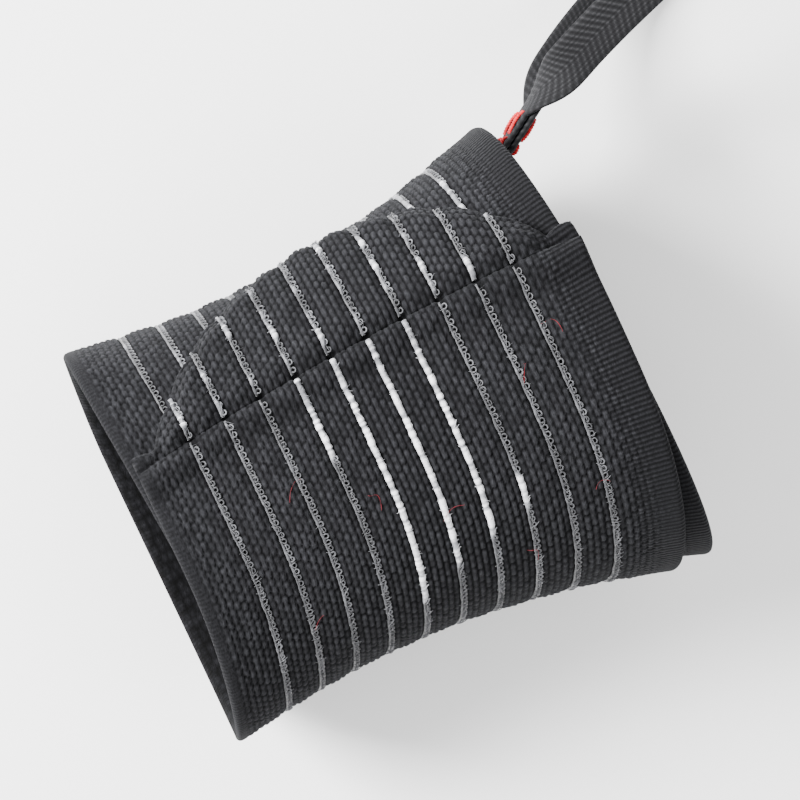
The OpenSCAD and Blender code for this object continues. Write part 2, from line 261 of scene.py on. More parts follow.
def knit(s, v, pillow, puff_h=PUFF_H):
    """Height of the knit's face above its mean plane, and a painted shade for its colour: how far up
    its puff each point is, darker in the stripes' channels and lighter on the crowns between them.
    The cloth bulges by pillow between stripes."""
    lane = (v - STRIPE_FORE) / STRIPE_PITCH
    puff = puffs(s, v, lane)
    near = np.clip(np.round(lane), 0, STRIPES - 1)
    channel = np.exp(-((np.abs(v - stripe_v(near)) / 0.62) ** 2))
    inside = (lane > -0.7) & (lane < STRIPES - 0.35)
    bulge = np.sin(math.pi * np.clip(lane - np.floor(lane), 0, 1)) ** 0.8
    crown = np.where(inside, bulge, 0.75) - 0.6
    fade = ease((BAND_W - RIBBED_FROM - v) / RIBBED) * ease((v - PLAIN_FROM) / PLAIN)
    height = puff_h * (puff - 0.55) * fade * (1 - channel) + pillow * crown * fade
    height = height - CHANNEL_D * channel + WRINKLE * wander(s, v)
    # Painted shade: darker down between the puffs and in each stripe's channel, lighter on the crowns.
    shade = np.clip(puff * fade + 0.5 * (1 - fade) + 0.22 * crown, 0, 1) * (1 - 0.75 * channel)
    return height, shade


def selvedge(v):
    """0 at the band's two edges and 1 inside, as a round edge."""
    d = np.minimum(1, np.minimum(v, BAND_W - v) / EDGE_R)
    return np.sqrt(np.clip(1 - (1 - d) ** 2, 0.02, 1))


# ---- Meshes ----
# UV maps are in these many mm for each unit
UV_MM = 10
# A cloth's skin side has one point for this many on its face
SKIN_STEP = 4
SKIN_SHADE = 0.45


def new_mesh(name, points, faces, material, uv, tones):
    """A smooth mesh from points in mm. faces is a list of index arrays, uv has a pair for each
    point, and tones are named values for each point."""
    mesh = bpy.data.meshes.new(name)
    points = np.asarray(points, np.float32) * MM
    sizes = np.concatenate([np.full(len(f), f.shape[1]) for f in faces])
    loops = np.concatenate([f.reshape(-1) for f in faces]).astype(np.int32)
    mesh.vertices.add(len(points))
    mesh.vertices.foreach_set("co", points.reshape(-1))
    mesh.loops.add(len(loops))
    mesh.loops.foreach_set("vertex_index", loops)
    mesh.polygons.add(len(sizes))
    starts = np.concatenate([[0], np.cumsum(sizes)[:-1]]).astype(np.int32)
    mesh.polygons.foreach_set("loop_start", starts)
    mesh.polygons.foreach_set("use_smooth", np.full(len(sizes), True))
    mesh.update(calc_edges=True)
    mesh.validate()
    order = np.empty(len(mesh.loops), np.int32)
    mesh.loops.foreach_get("vertex_index", order)
    layer = mesh.uv_layers.new(name="UVMap")
    layer.data.foreach_set("uv", np.asarray(uv, np.float32)[order].reshape(-1))
    obj = bpy.data.objects.new(name, mesh)
    for key, values in tones.items():
        set_tone(obj, key, values)
    bpy.context.scene.collection.objects.link(obj)
    mesh.materials.append(material)
    return obj


def set_tone(obj, key, values):
    tone = obj.data.attributes.new(key, "FLOAT", "POINT")
    tone.data.foreach_set("value", np.asarray(values, np.float32))


def grid_faces(n, m, base=0, flip=False):
    i, j = np.meshgrid(np.arange(n - 1), np.arange(m - 1), indexing="ij")
    a = base + i * m + j
    quad = np.stack([a, a + m, a + m + 1, a + 1], -1).reshape(-1, 4)
    return quad[:, ::-1] if flip else quad


def picks(n):
    return np.unique(np.concatenate([np.arange(0, n, SKIN_STEP), [n - 1]]))


def rim(fine, coarse, at, flip):
    """Triangles that join a fine edge to a coarse one. fine and coarse give a point's index from
    its place along each, and at has the fine places that the coarse points stand at."""
    tris = []
    for a in range(len(at) - 1):
        middle = (at[a] + at[a + 1]) // 2
        for k in range(at[a], at[a + 1]):
            tris.append((fine(k), fine(k + 1), coarse(a if k < middle else a + 1)))
        tris.append((fine(middle), coarse(a + 1), coarse(a)))
    return tris if flip else [t[::-1] for t in tris]


def shell(outer, inner_of, name, material, uv, shade):
    """A closed cloth: a fine face, and a coarser one behind it whose points inner_of(rows, columns)
    gives. A rim joins the two all round."""
    n, m = outer.shape[:2]
    rows, cols = picks(n), picks(m)
    pick = np.ix_(rows, cols)
    inner = inner_of(rows, cols)
    base, behind = n * m, len(rows) * len(cols)

    def back(a, b):
        return base + a * len(cols) + b

    tris = rim(lambda k: k * m, lambda a: back(a, 0), rows, False)
    tris += rim(lambda k: k * m + m - 1, lambda a: back(a, len(cols) - 1), rows, True)
    tris += rim(lambda k: k, lambda a: back(0, a), cols, True)
    tris += rim(lambda k: (n - 1) * m + k, lambda a: back(len(rows) - 1, a), cols, False)
    faces = [grid_faces(n, m), grid_faces(len(rows), len(cols), base, flip=True), np.array(tris)]
    points = np.concatenate([outer.reshape(-1, 3), inner.reshape(-1, 3)])
    uvs = np.concatenate([uv.reshape(-1, 2), uv[pick].reshape(-1, 2)])
    tone = np.concatenate([shade.reshape(-1), np.full(behind, SKIN_SHADE)])
    skin = np.concatenate([np.zeros(base), np.ones(behind)])
    return new_mesh(name, points, faces, material, uvs, {"relief_shade": tone, "skin": skin})


COLUMNS = np.linspace(0, BAND_W, 297)


def cloth(name, p, v, lift, pillow, extra=0.0):
    """Knit over a grid of turn angles p and distances v, raised by lift, with its face outward and
    raised by extra more."""
    s = s_of(p)
    height, shade = knit(s, v, pillow)
    edge = selvedge(v)
    face = CLOTH_T / 2 + (CLOTH_T / 2 + height + extra) * edge + lift
    skin = CLOTH_T / 2 - CLOTH_T / 2 * edge + lift

    def inner_of(rows, cols):
        pick = np.ix_(rows, cols)
        return place(p[pick], v[pick], skin[pick])

    return shell(place(p, v, face), inner_of, name, KNIT, np.stack([v, s], -1) / UV_MM, shade)


def tubes(name, runs, material, sides=6):
    """Closed tubes. Each run is (centres, side vectors, up vectors, half widths, half heights,
    tone), with one value for each ring."""
    points, quads, tris, tones, uvs = [], [], [], [], []
    base = 0
    angle = np.linspace(0, 2 * math.pi, sides, endpoint=False)
    for centre, side, up, wide, high, tone in runs:
        n = len(centre)
        ring = (centre[:, None] + side[:, None] * (np.cos(angle)[None, :, None] * wide[:, None, None])
                + up[:, None] * (np.sin(angle)[None, :, None] * high[:, None, None]))
        ring[..., 2] = np.maximum(ring[..., 2], FLOOR_GAP / 2)
        points.append(ring.reshape(-1, 3))
        i, j = np.meshgrid(np.arange(n - 1), np.arange(sides), indexing="ij")
        a, b = base + i * sides + j, base + i * sides + (j + 1) % sides
        quads.append(np.stack([a, b, b + sides, a + sides], -1).reshape(-1, 4))
        last = base + (n - 1) * sides
        for k in range(1, sides - 1):
            tris.append((base, base + k + 1, base + k))
            tris.append((last, last + k, last + k + 1))
        tones.append(np.repeat(tone, sides))
        along = np.repeat(run_length(centre), sides) / UV_MM
        uvs.append(np.stack([np.tile(angle / (2 * UV_MM), n), along], -1))
        base += n * sides
    faces = [np.concatenate(quads), np.array(tris)]
    return new_mesh(name, np.concatenate(points), faces, material, np.concatenate(uvs),
                    {"tone": np.concatenate(tones)})


def unit(a):
    return a / np.maximum(np.linalg.norm(a, axis=-1, keepdims=True), 1e-9)


def frames_on(p, v, h):
    """Place, direction across the band and direction out of the cloth."""
    e = 0.05
    centre = place(p, v, h)
    side = unit(place(p, v + e, h) - place(p, v - e, h))
    up = place(p, v, h + 1) - place(p, v, h)
    up = unit(up - side * np.sum(up * side, -1, keepdims=True) + np.array([0, 0, 1e-6]))
    return centre, side, up


def thread(centre, side, up, r):
    """A run of tubes() with one radius and full tone."""
    n = len(centre)
    return centre, side, up, np.full(n, r), np.full(n, r), np.ones(n)


# ---- Materials ----
COOL_KNIT = (0.85, 0.87, 0.92, 1)
COOL_WEBBING = (0.85, 0.88, 0.95, 1)
WHITE = (1, 1, 1, 1)
MID_GREY = (0.5, 0.5, 0.5, 1)


def grey(value):
    return value, value, value


def material(name, roughness, sheen=0.0, specular=0.3, sheen_tint=WHITE):
    mat = bpy.data.materials.new(name)
    mat.use_nodes = True
    tree = mat.node_tree
    shader = tree.nodes["Principled BSDF"]
    shader.inputs["Roughness"].default_value = roughness
    shader.inputs["Sheen Weight"].default_value = sheen
    shader.inputs["Sheen Roughness"].default_value = 0.45
    shader.inputs["Sheen Tint"].default_value = sheen_tint
    shader.inputs["Specular IOR Level"].default_value = specular
    return mat, tree, shader


def texture(tree, kind, vector, **values):
    """A texture node on these coordinates, with its inputs or settings."""
    made = tree.nodes.new(kind)
    for key, value in values.items():
        if key in made.inputs:
            made.inputs[key].default_value = value
        else:
            setattr(made, key, value)
    tree.links.new(vector, made.inputs["Vector"])
    return made


def ramp(tree, source, stops):
    """Colours along a value: each stop is (place, colour)."""
    made = tree.nodes.new("ShaderNodeValToRGB")
    while len(made.color_ramp.elements) < len(stops):
        made.color_ramp.elements.new(0.5)
    for element, (at, colour) in zip(made.color_ramp.elements, stops):
        element.position = at
        element.color = (*colour, 1)
    tree.links.new(source, made.inputs["Fac"])
    return made.outputs["Color"]


def mix(tree, kind, a, b, factor):
    made = tree.nodes.new("ShaderNodeMix")
    made.data_type = "RGBA"
    made.blend_type = kind
    for socket, value in ((made.inputs[0], factor), (made.inputs[6], a), (made.inputs[7], b)):
        if hasattr(value, "links"):
            tree.links.new(value, socket)
        else:
            socket.default_value = value
    return made.outputs[2]


def times(tree, a, b):
    return mix(tree, "MULTIPLY", a, b, 1.0)


def stretched_uv(tree, across, along):
    uv = tree.nodes.new("ShaderNodeUVMap")
    uv.uv_map = "UVMap"
    mapping = tree.nodes.new("ShaderNodeMapping")
    mapping.inputs["Scale"].default_value = (across, along, 1)
    tree.links.new(uv.outputs["UV"], mapping.inputs["Vector"])
    return mapping.outputs["Vector"]


def bump(tree, shader, heights):
    """Chains bumps on the shader: each is (height socket, strength, distance in mm)."""
    last = None
    for socket, strength, distance in heights:
        made = tree.nodes.new("ShaderNodeBump")
        made.inputs["Strength"].default_value = strength
        made.inputs["Distance"].default_value = distance * MM
        tree.links.new(socket, made.inputs["Height"])
        if last:
            tree.links.new(last, made.inputs["Normal"])
        last = made.outputs["Normal"]
    tree.links.new(last, shader.inputs["Normal"])


def fibres(tree, across, along):
    """Noise in the piece's own UV map, drawn out along its yarn."""
    vector = stretched_uv(tree, across, along)
    noise = texture(tree, "ShaderNodeTexNoise", vector, Scale=1.0, Detail=3.0, Roughness=0.6)
    return noise.outputs["Fac"]


def object_noise(tree, scale, detail=2.0):
    coords = tree.nodes.new("ShaderNodeTexCoord").outputs["Object"]
    return texture(tree, "ShaderNodeTexNoise", coords, Scale=scale, Detail=detail).outputs["Fac"]


def attribute(tree, name):
    made = tree.nodes.new("ShaderNodeAttribute")
    made.attribute_name = name
    return made.outputs["Fac"]


def edge_ribs(tree):
    """Fine ribs square to the band's two edges, and mid grey between them."""
    split = tree.nodes.new("ShaderNodeSeparateXYZ")
    tree.links.new(stretched_uv(tree, UV_MM / BAND_W, 1.0), split.inputs["Vector"])
    edge = ramp(tree, split.outputs["X"],
                [(0.0, grey(0.5)), (0.03, grey(0)), (0.88, grey(0)), (0.93, grey(1))])
    rib = texture(tree, "ShaderNodeTexWave", stretched_uv(tree, 1.0, 1.0), Scale=4.5, Distortion=0.9,
                  Detail=1.0, bands_direction="Y")
    return mix(tree, "MIX", MID_GREY, rib.outputs["Color"], edge)


def knit_material():
    """Charcoal knit, dark between its puffs by painted shade, with ribbed edges and streaky fibres."""
    mat, tree, shader = material("charcoal_knit", 0.9, 0.035, 0.07, COOL_KNIT)
    # Painted shade: near black where the cloth lies low between its puffs, lighter on their tops.
    deep = ramp(tree, attribute(tree, "relief_shade"),
                [(0.1, (0.0018, 0.0018, 0.0021)), (0.5, (0.0062, 0.0062, 0.0069)),
                 (1, (0.0175, 0.0177, 0.0195))])
    # Skin side: loops whose colour darkens toward the gaps between them, a painted shade on a flat face.
    loops = texture(tree, "ShaderNodeTexVoronoi", stretched_uv(tree, 9.2, 5.6), Scale=1.0,
                    Randomness=0.55)
    back = ramp(tree, loops.outputs["Distance"],
                [(0.1, (0.008, 0.008, 0.009)), (0.45, (0.0035, 0.0035, 0.004)), (0.75, grey(0.001))])
    colour = mix(tree, "MIX", deep, back, attribute(tree, "skin"))
    ribs = edge_ribs(tree)
    # The ribs also set the colour: darker in their valleys and lighter on their crests, a painted shade
    # and painted highlight.
    colour = times(tree, colour, ramp(tree, ribs, [(0.1, grey(0.45)), (0.5, grey(1)), (0.9, grey(1.5))]))
    streak = ramp(tree, fibres(tree, 42, 15), [(0.3, grey(0.5)), (0.72, (1.45, 1.45, 1.47))])
    colour = times(tree, colour, streak)
    fade = ramp(tree, object_noise(tree, 38), [(0.35, (0.85, 0.85, 0.86)), (0.7, (1.12, 1.12, 1.13))])
    tree.links.new(times(tree, colour, fade), shader.inputs["Base Color"])
    bump(tree, shader, [(fibres(tree, 60, 20), 0.7, 0.25), (ribs, 0.6, 0.2), (back, 0.5, 3.0)])
    return mat


def stripe_material():
    """Yarn from near black to white by each point's tone."""
    mat, tree, shader = material("stripe_yarn", 0.5, 0.25, 0.5)
    tone = ramp(tree, attribute(tree, "tone"),
                [(0.0, (0.01, 0.01, 0.011)), (0.35, (0.045, 0.046, 0.051)),
                 (0.7, (0.18, 0.184, 0.198)), (1.0, (0.80, 0.80, 0.82))])
    ply = ramp(tree, fibres(tree, 30, 30), [(0.3, (0.72, 0.72, 0.74)), (0.7, grey(1.15))])
    tree.links.new(times(tree, tone, ply), shader.inputs["Base Color"])
    bump(tree, shader, [(fibres(tree, 60, 14), 0.5, 0.10)])
    return mat


def thread_material(name, dark, light, scale=900, roughness=0.6):
    mat, tree, shader = material(name, roughness, 0.05, 0.2)
    noise = object_noise(tree, scale, 3.0)
    tree.links.new(ramp(tree, noise, [(0.35, dark), (0.68, light)]), shader.inputs["Base Color"])
    bump(tree, shader, [(noise, 0.6, 0.12)])
    return mat


def webbing_material():
    mat, tree, shader = material("black_webbing", 0.8, 0.05, 0.12, COOL_WEBBING)
    # Painted shade: darker where the weave lies low, lighter on its raised chevrons and cords.
    deep = ramp(tree, attribute(tree, "relief_shade"),
                [(0.0, (0.0015, 0.0015, 0.0018)), (0.6, (0.010, 0.010, 0.011)),
                 (1.0, (0.032, 0.032, 0.034))])
    yarn = ramp(tree, fibres(tree, 50, 50), [(0.3, grey(0.6)), (0.7, grey(1.3))])
    tree.links.new(times(tree, deep, yarn), shader.inputs["Base Color"])
    bump(tree, shader, [(fibres(tree, 70, 70), 0.5, 0.1)])
    return mat


KNIT = knit_material()
STRIPE = stripe_material()
WEBBING = webbing_material()
RED = thread_material("heavy_red_thread", (0.24, 0.003, 0.005), (0.58, 0.012, 0.018))
LINT = thread_material("dull_red_lint", (0.06, 0.004, 0.007), (0.30, 0.02, 0.03))
BLACK = thread_material("black_sewing_thread", (0.006, 0.006, 0.007), (0.04, 0.04, 0.045))
TAPE = thread_material("hook_tape_nylon", (0.003, 0.003, 0.0035), (0.02, 0.02, 0.022), 1400, 0.55)

# ---- Cloth pieces ----
# How far the cloth bulges between stripes, on each part
INNER_PILLOW = 0.18
PILLOW = 0.34
END_PILLOW = 1.0
# A little before the inner turn comes into sight at rest. Its rows are shorter from here on
FINE_FROM = 245
# Spacing of the mesh's rows along the strip
COARSE_ROW = 0.72
FINE_ROW = 0.44
UNDER_ROW = 0.42


def turn_grid(p):
    return np.meshgrid(p, COLUMNS, indexing="ij")


first_rows = rows_by_length(0, FINE_FROM, COARSE_ROW)[:-1]
p, v = turn_grid(np.concatenate([first_rows, rows_by_length(FINE_FROM, FULL_TURN, FINE_ROW)]))
inner = cloth("knit_inner_turn", p, v, 0.0, INNER_PILLOW)
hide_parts("inner_turn")
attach(inner, "wound_band")

p, v = turn_grid(rows_by_length(FULL_TURN, NEAR_SIDE, UNDER_ROW))
under = cloth("knit_outer_turn_under", p, v, 0.0, PILLOW)
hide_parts("outer_turn_under")
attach(under, "wound_band")


def ramp_lift(p, v):
    """The cloth rises over the hook tape, up to the crease."""
    return TAPE_ROOM * ease(1 + (p - crease_p(v)) / (RAMP_L * DEG_PER_MM))


def crease_dip(mm):
    """A deep groove at the crease, with a puffed lip beside it."""
    groove, groove_l, lip, lip_at, lip_l = 1.0, 0.75, 0.5, 2.4, 1.5
    return -groove * np.exp(-((mm / groove_l) ** 2)) + lip * np.exp(-(((mm - lip_at) / lip_l) ** 2))


def top_p(t, v):
    """Turn angle at a share t of the way from the near side to the crease."""
    s0 = s_of(NEAR_SIDE)
    return p_of(s0 + (s_of(crease_p(v)) - s0) * t)


t, v = np.meshgrid(np.linspace(0, 1, 160), COLUMNS, indexing="ij")
p = top_p(t, v)
before = (crease_p(v) - p) / DEG_PER_MM
top = cloth("knit_outer_turn_top", p, v, ramp_lift(p, v), PILLOW, crease_dip(before))
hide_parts("outer_turn_top")


def end_droop(l, v):
    """Past the hook tape the closure end comes down onto the turn below it."""
    left, start, over = 0.25, 3.2, 4.6
    return -(TAPE_ROOM - left) * ease((l - end_length(v) + start) / over)


def end_swell(l):
    """The closure end thickens a little away from the crease."""
    return 0.25 * ease(l / 5)


def scallop(v):
    """How far the end's edge draws back at the stripes, between its pillows."""
    depth, roundness = 1.1, 0.7
    return depth * (1 - np.abs(np.sin(math.pi * (v - STRIPE_FORE) / STRIPE_PITCH)) ** roundness)


t, v = np.meshgrid(np.linspace(0, 1, 66), COLUMNS, indexing="ij")
l = t * (end_length(v) + 0.6 * HEM_L - scallop(v))
p = crease_p(v) + l * DEG_PER_MM
closure = cloth("knit_closure_end", p, v, TAPE_ROOM + end_droop(l, v), END_PILLOW,
                crease_dip(l) + end_swell(l))
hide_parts("closure_end")

# ---- Stripes ----
# Pitch of the small loops beside each stripe's cord, pitch and radius of the stray fibres across
# it, and spacing of the cord's rings
CHAIN_PITCH = 1.12
FUZZ_PITCH = 0.55
FUZZ_R = 0.055
CORD_ROW = 0.36
# Up to this turn angle the inner turn's stripes stay covered, and are plain cords with longer rows
COVERED = 165
COVERED_ROW = 0.8
# Above this share of full brightness the cord hides the loops
HIDES_CHAIN = 0.7


def stripe_runs(i, p, lift, bright, chain=True):
    """One stripe: a pale cord on its forearm side and a chain of small loops beside it. Where the
    stripe is bright, the cord is full and hides the loops."""
    v0 = stripe_v(i)
    s = s_of(p)
    lift = lift + 0 * p
    full = ease(bright * 2.6 - 1.35)
    rings = np.arange(len(p))
    rough = cell(i, rings)
    slubs = cell(i + 20, rings // 2)
    ripple = 0.5 + 0.5 * np.sin(2 * math.pi * s / CHAIN_PITCH + i)
    v = v0 - 0.34 * (1 - full) + 0.05 * wander(6 * s, v0) + 0.06 * (rough - 0.5)
    centre, side, up = frames_on(p, v, CLOTH_T - 0.16 + 0.08 * full + lift)
    width = 0.13 + 0.08 * slubs + 0.25 * full + 0.05 * ripple + 0.14 * rough * full
    height = 0.13 + 0.06 * slubs + 0.15 * full + 0.04 * ripple + 0.10 * rough * full
    tone = bright * (0.50 + 0.30 * slubs + 0.15 * ripple + 0.25 * full)
    runs = [(centre, side, up, width, height, tone * (0.75 + 0.35 * rough))]
    if chain:
        for k, at in enumerate(np.arange(s[0] + 0.5, s[-1] - 0.5, CHAIN_PITCH)):
            if np.interp(at, s, full) <= HIDES_CHAIN:
                runs.append(chain_loop(v0, at, np.interp(at, s, lift), np.interp(at, s, bright),
                                       cell(i + 40, k)))
    return runs


def chain_loop(v0, at, lift, bright, wild):
    """A small open loop of yarn that lies beside the cord. wild, 0 to 1, varies it."""
    turn = np.radians(np.linspace(-150, 160, 8))
    reach = 0.34 + 0.08 * wild
    centre, _, up = frames_on(p_of(at + 0.42 * np.sin(turn)), v0 + 0.16 + reach * np.cos(turn),
                              CLOTH_T - 0.17 + 0.07 * np.cos(turn) + lift)
    side = unit(np.cross(up, unit(np.gradient(centre, axis=0))))
    wire = np.full(len(turn), 0.10 + 0.03 * wild)
    # Darker toward its two ends, where it dips down beside the cord: painted shade.
    tone = bright * (0.55 + 0.45 * wild) * (0.8 + 0.2 * np.cos(turn))
    return centre, side, up, wire, wire, tone


def fuzz_runs(i, p, lift, bright):
    """Short stray fibres across one stripe."""
    s = s_of(p)
    lift = lift + 0 * p
    t = np.linspace(-1, 1, 4)
    wire = np.full(len(t), FUZZ_R)
    runs = []
    for k, at in enumerate(np.arange(s[0] + 0.6, s[-1] - 0.6, FUZZ_PITCH)):
        a, b, c = cell(i + 60, k), cell(i + 80, k), cell(i + 100, k)
        way, reach = 2 * math.pi * a, 0.35 + 0.45 * b
        rise = 0.12 + 0.2 * c - 0.12 * t ** 2 + np.interp(at, s, lift)
        v = stripe_v(i) + 0.5 * (c - 0.5) + reach * t * math.cos(way)
        centre, side, up = frames_on(p_of(at + reach * t * math.sin(way)), v, CLOTH_T + rise)
        tone = np.full(len(t), (0.55 + 0.4 * b) * np.interp(at, s, bright))
        runs.append((centre, side, up, wire, wire, tone))
    return runs


def patchy(i, s, low, high):
    """Brightness that comes and goes along a stripe."""
    wave = (np.sin(s / 3.1 + 2.3 * i) + np.sin(s / 1.7 + 5.1 * i) + np.sin(s / 7.3 + 1.7 * i)) / 3
    return low + (high - low) * ease(0.5 + 0.55 * wave)


# Where some stripes of the outer turn are bright: from and to, as shares of the way to the crease
BRIGHT = {3: (0.76, 1.0), 4: (0.30, 1.0), 5: (0.37, 1.0), 6: (0.42, 1.0), 7: (0.46, 0.55)}
BRIGHT_TONE = 0.97
BRIGHT_FADE = 0.05


def top_tone(i, t):
    """Brightness along the outer turn, t being 0 at the near side and 1 at the crease. Some stripes
    are full and bright over part of it; the others are dim chains, paler toward the near side."""
    tone = patchy(i, t * 60, 0.36, 0.56) + 0.16 * ease((0.22 - t) / 0.22)
    if i in BRIGHT:
        start, stop = BRIGHT[i]
        bright = ease((t - start) / BRIGHT_FADE) * (1 - ease((t - stop) / BRIGHT_FADE))
        tone = tone + (BRIGHT_TONE - 0.17 * ease((t - 0.8) / 0.2) - tone) * bright
    return tone


def inner_stripe(i):
    low, high = (0.30, 0.66) if i < 8 else (0.45, 0.85)
    runs = []
    for p, chain in ((rows_by_length(0.3, COVERED, COVERED_ROW), False),
                     (rows_by_length(COVERED, FULL_TURN - 0.2, CORD_ROW), True)):
        runs += stripe_runs(i, p, 0.0, patchy(i, s_of(p), low, high), chain)
    return runs


def under_stripe(i):
    p = rows_by_length(FULL_TURN + 0.2, NEAR_SIDE, CORD_ROW)
    return stripe_runs(i, p, 0.0, patchy(i + 3, s_of(p), 0.42, 0.62))


def top_stripe(i):
    t = np.linspace(0, 0.992, 170)
    v = np.full_like(t, stripe_v(i))
    p = top_p(t, v)
    rise = ramp_lift(p, v) + 0.6 * crease_dip((crease_p(v) - p) / DEG_PER_MM)
    tone = top_tone(i, t)
    return stripe_runs(i, p, rise, tone) + fuzz_runs(i, p, rise, tone)


def end_stripe(i):
    t = np.linspace(0.02, 1, 70)
    v = np.full_like(t, stripe_v(i))
    l = t * (end_length(v) + 0.5 * HEM_L)
    p = crease_p(v) + l * DEG_PER_MM
    rise = TAPE_ROOM + end_droop(l, v) + crease_dip(l) + end_swell(l)
    tone = patchy(i, 2.2 * s_of(p), 0.30, 0.88)
    return stripe_runs(i, p, rise, tone) + fuzz_runs(i, p, rise, tone)


def all_stripes(name, one):
    return tubes(name, [run for i in range(STRIPES) for run in one(i)], STRIPE)


stripes_inner = all_stripes("stripes_inner_turn", inner_stripe)
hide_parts("inner_turn_stripes")
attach(stripes_inner, "wound_band")
stripes_under = all_stripes("stripes_outer_turn_under", under_stripe)
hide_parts("outer_turn_under_stripes")
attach(stripes_under, "wound_band")
stripes_top = all_stripes("stripes_outer_turn_top", top_stripe)
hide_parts("outer_turn_top_stripes")
stripes_end = all_stripes("stripes_closure_end", end_stripe)
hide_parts("closure_end_stripes")


# ---- Rolled hem round the closure end ----
def rolled_hem():
    in_from_edge, sides, half_w, half_h = 0.4, 12, 0.80, 1.0
    v = np.linspace(in_from_edge, BAND_W - in_from_edge, 420)
    l = end_length(v) + 0.55 * HEM_L - scallop(v)
    p = crease_p(v) + l * DEG_PER_MM
    centre = place(p, v, CLOTH_T / 2 + 0.15 + TAPE_ROOM + end_droop(l, v) - 0.1)
    tangent = unit(np.gradient(centre, axis=0))
    _, _, up = frames_on(p, v, CLOTH_T)
    side = unit(np.cross(tangent, up))
    # Small overcast stitches make it beady
    beads = 0.10 * np.abs(np.sin(math.pi * np.arange(len(v)) / 4.4))
    run = (centre, side, unit(np.cross(side, tangent)), half_w + beads, half_h + beads, np.ones(len(v)))
    made = tubes("closure_end_rolled_hem", [run], KNIT, sides)
    # Painted shade: the hem's colour is lighter on its beads and darker between them.
    set_tone(made, "relief_shade", np.repeat(0.35 + 3.5 * beads, sides))
    return made


hem = rolled_hem()
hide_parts("closure_end_hem")

# ---- Webbing: tab, root and thumb loop in one strip ----
INNER_DEG = 180 / math.pi / (OPEN_H[0] / 2)
STACK_T = 2 * WEB_T + TOUCH
TAB_MID = -INNER_HEM_T - 2 * LAY - STACK_T / 2
TAB_P = INNER_HEM_L / 2 * INNER_DEG
# The flat facet of the inner end that carries the tab starts here
TAB_FACET = math.floor(TAB_P / FACET) * FACET
# Once the loop's legs are this far from its middle line, they come into one plane over this height
PART_START = 1
PART_L = 6
WEB_ROW = 0.34
# The weave: chevrons along the webbing, and cords side by side
CHEVRON_L = 1.36
CHEVRON_SLOPE = 2.1
WARP_W = 0.72
WEAVE_H = 0.16


def tab_place(v, h):
    """On the facet that carries the tab, halfway along the inner end's hem."""
    a, b = place(TAB_FACET, v, h), place(TAB_FACET + FACET, v, h)
    return a + (b - a) * (TAB_P - TAB_FACET) / FACET


LOOP_ROOT = tab_place(BAND_W + BEND_X, TAB_MID)
LOOP_OUT = np.array([math.cos(math.radians(LOOP_ANGLE)), math.sin(math.radians(LOOP_ANGLE)), 0])
LOOP_SIDE = np.array([-LOOP_OUT[1], LOOP_OUT[0], 0])
LOOP_UP = np.array([0.0, 0, 1])


def web_turn(x):
    """Angle by which the webbing has turned flat, x mm along the loop."""
    return math.pi / 2 * ease((x - ROOT_L) / TURN_L)


def web_at(x, z, leg):
    a = web_turn(x)[:, None]
    normal = LOOP_SIDE * np.cos(a) + LOOP_UP * np.sin(a)
    curl = (-LOOP_CURL * np.maximum(0, x - ROOT_L) ** 2 / 2)[:, None]
    apart = (leg * STACK_T / 4 * (1 - ease((np.abs(z) - PART_START) / PART_L)))[:, None]
    return LOOP_ROOT + LOOP_OUT * x[:, None] + LOOP_SIDE * curl + LOOP_UP * z[:, None] + normal * apart


def loop_path():
    """Centres and width directions of the webbing, from one end of the tab round to the other."""
    a = np.radians(np.linspace(DROP_FIRST, 360 - DROP_FIRST, 300))
    drop_x = LOOP_L * (1 - np.cos(a)) / 2
    drop_z = LOOP_H / 2 / DROP_PEAK * np.sin(a) * np.abs(np.sin(a / 2)) ** DROP_POWER
    straight = np.linspace(BEND_GAP, ROOT_L, 14)[:-1]
    level = np.zeros_like(straight)
    x = np.concatenate([straight, ROOT_L + drop_x, straight[::-1]])
    z = np.concatenate([level, drop_z, level])
    leg = np.concatenate([level + 1, np.where(a < math.pi, 1, -1), level - 1])
    turn = web_turn(x)[:, None]
    wide = LOOP_UP * np.cos(turn) - LOOP_SIDE * np.sin(turn)
    tab_v = np.linspace(BAND_W - TAB_L, BAND_W + TAB_OUT, 34)
    tab_wide = np.tile(-unit(place(24, BAND_W, 0) - place(12, BAND_W, 0)), (len(tab_v), 1))
    # The loop's first leg is the tab's layer next to the hem
    first, last = (np.array([tab_place(v, TAB_MID + layer * STACK_T / 4) for v in tab_v])
                   for layer in (1, -1))
    path = np.concatenate([first, web_at(x, z, leg), last[::-1]])
    return path, np.concatenate([tab_wide, wide, tab_wide])


def resample(path, extra, step):
    """Two lines of points at even steps along the first, and the distances of those steps."""
    along = run_length(path)
    at = np.linspace(0, along[-1], int(along[-1] / step) + 1)
    path, extra = (np.stack([np.interp(at, along, q[:, k]) for k in range(3)], -1)
                   for q in (path, extra))
    return path, extra, at


def smooth_path(q, rounds):
    for _ in range(rounds):
        q = np.concatenate([q[:1], (q[:-2] + 2 * q[1:-1] + q[2:]) / 4, q[-1:]])
    return q


